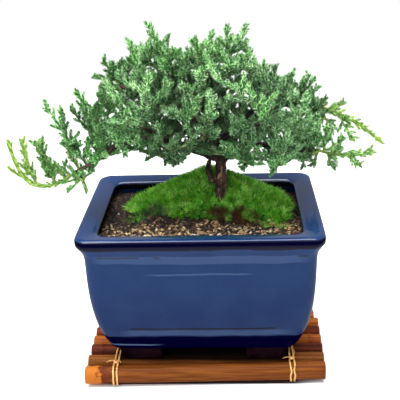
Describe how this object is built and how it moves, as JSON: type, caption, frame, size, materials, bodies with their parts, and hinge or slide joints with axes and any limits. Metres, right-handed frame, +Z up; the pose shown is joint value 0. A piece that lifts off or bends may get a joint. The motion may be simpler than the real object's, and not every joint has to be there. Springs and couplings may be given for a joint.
{
  "type": "potted bonsai tree",
  "caption": "Small spreading juniper bonsai in a rectangular glazed pot with a moss mound over bark soil, standing on a mat of lashed split bamboo.",
  "frame": {"origin": "on the table, under the middle of the object", "axes": "+X to the object's right along the long side of the pot, -Y towards the front, +Z up"},
  "size_m": [0.2396, 0.1233, 0.2282],
  "materials": {
    "glaze": "glossy dark blue ceramic glaze",
    "soil": "loose dark potting soil with bark chips",
    "moss": "soft matt green moss",
    "bark": "rough dark bark",
    "needles": "matt blue-green juniper needles",
    "young_needles": "matt yellow-green young needles",
    "bamboo": "stained and varnished split bamboo",
    "raffia": "dry straw-coloured raffia"
  },
  "bodies": {
    "root": {"pot": "glaze", "soil": "soil", "moss": "moss", "trunk_and_branches": "bark", "spray_left_tip": "young_needles", "spray_left_drop": "young_needles", "spray_left_fan": "needles", "spray_left_rise": "needles", "spray_left_shoulder": "needles", "spray_left_front": "needles", "spray_left_front_low": "needles", "spray_left_under": "needles", "spray_left_inner_top": "needles", "spray_left_inner_front": "needles", "spray_left_back": "needles", "spray_left_low_back": "needles", "spray_peak_left": "needles", "spray_peak_left_front": "needles", "spray_peak_middle": "needles", "spray_peak_right": "needles", "spray_peak_right_front": "needles", "spray_peak_back": "needles", "spray_peak_front": "needles", "spray_right_shoulder": "needles", "spray_right_shoulder_back": "needles", "spray_right_crest": "needles", "spray_right_rise": "needles", "spray_right_tip": "young_needles", "spray_right_low_tip": "young_needles", "spray_right_low_rise": "needles", "spray_right_low_middle": "needles", "spray_right_low_front": "needles", "spray_front_right": "needles", "spray_front_right_inner": "needles", "spray_front_middle": "needles", "spray_front_low": "needles", "spray_front_left": "needles", "spray_front_left_low": "needles", "spray_back_middle": "needles", "spray_back_low": "needles", "spray_back_left": "needles", "spray_back_left_inner": "needles", "spray_back_right": "needles", "spray_back_right_inner": "needles", "bamboo_pole_1": "bamboo", "bamboo_pole_2": "bamboo", "bamboo_pole_3": "bamboo", "bamboo_pole_4": "bamboo", "bamboo_pole_5": "bamboo", "bamboo_pole_6": "bamboo", "bamboo_pole_7": "bamboo", "bamboo_pole_8": "bamboo", "bamboo_pole_9": "bamboo", "batten_left": "bamboo", "raffia_left": "raffia", "batten_right": "bamboo", "raffia_right": "raffia"}
  },
  "joints": []
}
